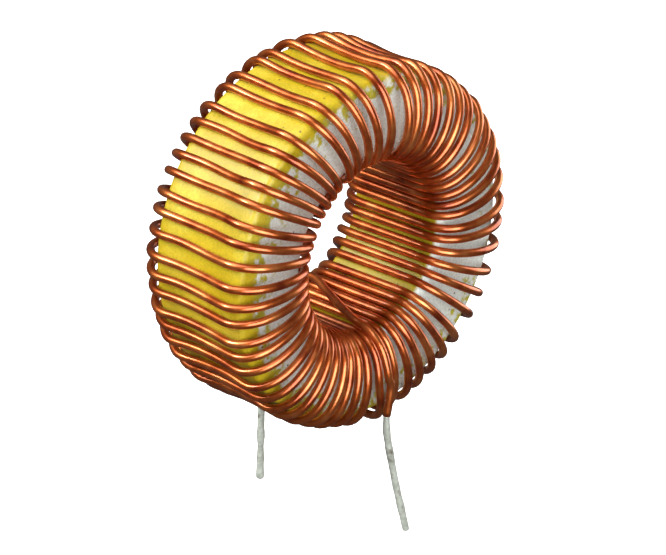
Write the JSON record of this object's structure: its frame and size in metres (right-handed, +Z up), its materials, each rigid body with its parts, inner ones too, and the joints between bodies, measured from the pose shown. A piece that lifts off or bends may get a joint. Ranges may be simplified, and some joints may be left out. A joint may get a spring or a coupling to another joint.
{
  "type": "toroidal inductor",
  "caption": "Toroidal power inductor: one layer of enamelled copper wire wound on a painted powdered-iron ring, standing upright on two tinned wire leads for a circuit board.",
  "frame": {"origin": "on the circuit board's face, straight below the ring's centre, at the height of the lowest turn of wire", "axes": "+Z up from the board; the ring's axis runs along Y and its white face looks towards -Y; +X completes the frame along the ring's face"},
  "size_m": [0.0348, 0.0181, 0.0457],
  "materials": {
    "core_coat": "satin",
    "enamelled_wire": "gloss",
    "solder": "satin"
  },
  "bodies": {
    "root": {"core": "core_coat", "winding": "enamelled_wire", "front_lead_solder": "solder", "rear_lead_solder": "solder"}
  },
  "joints": []
}
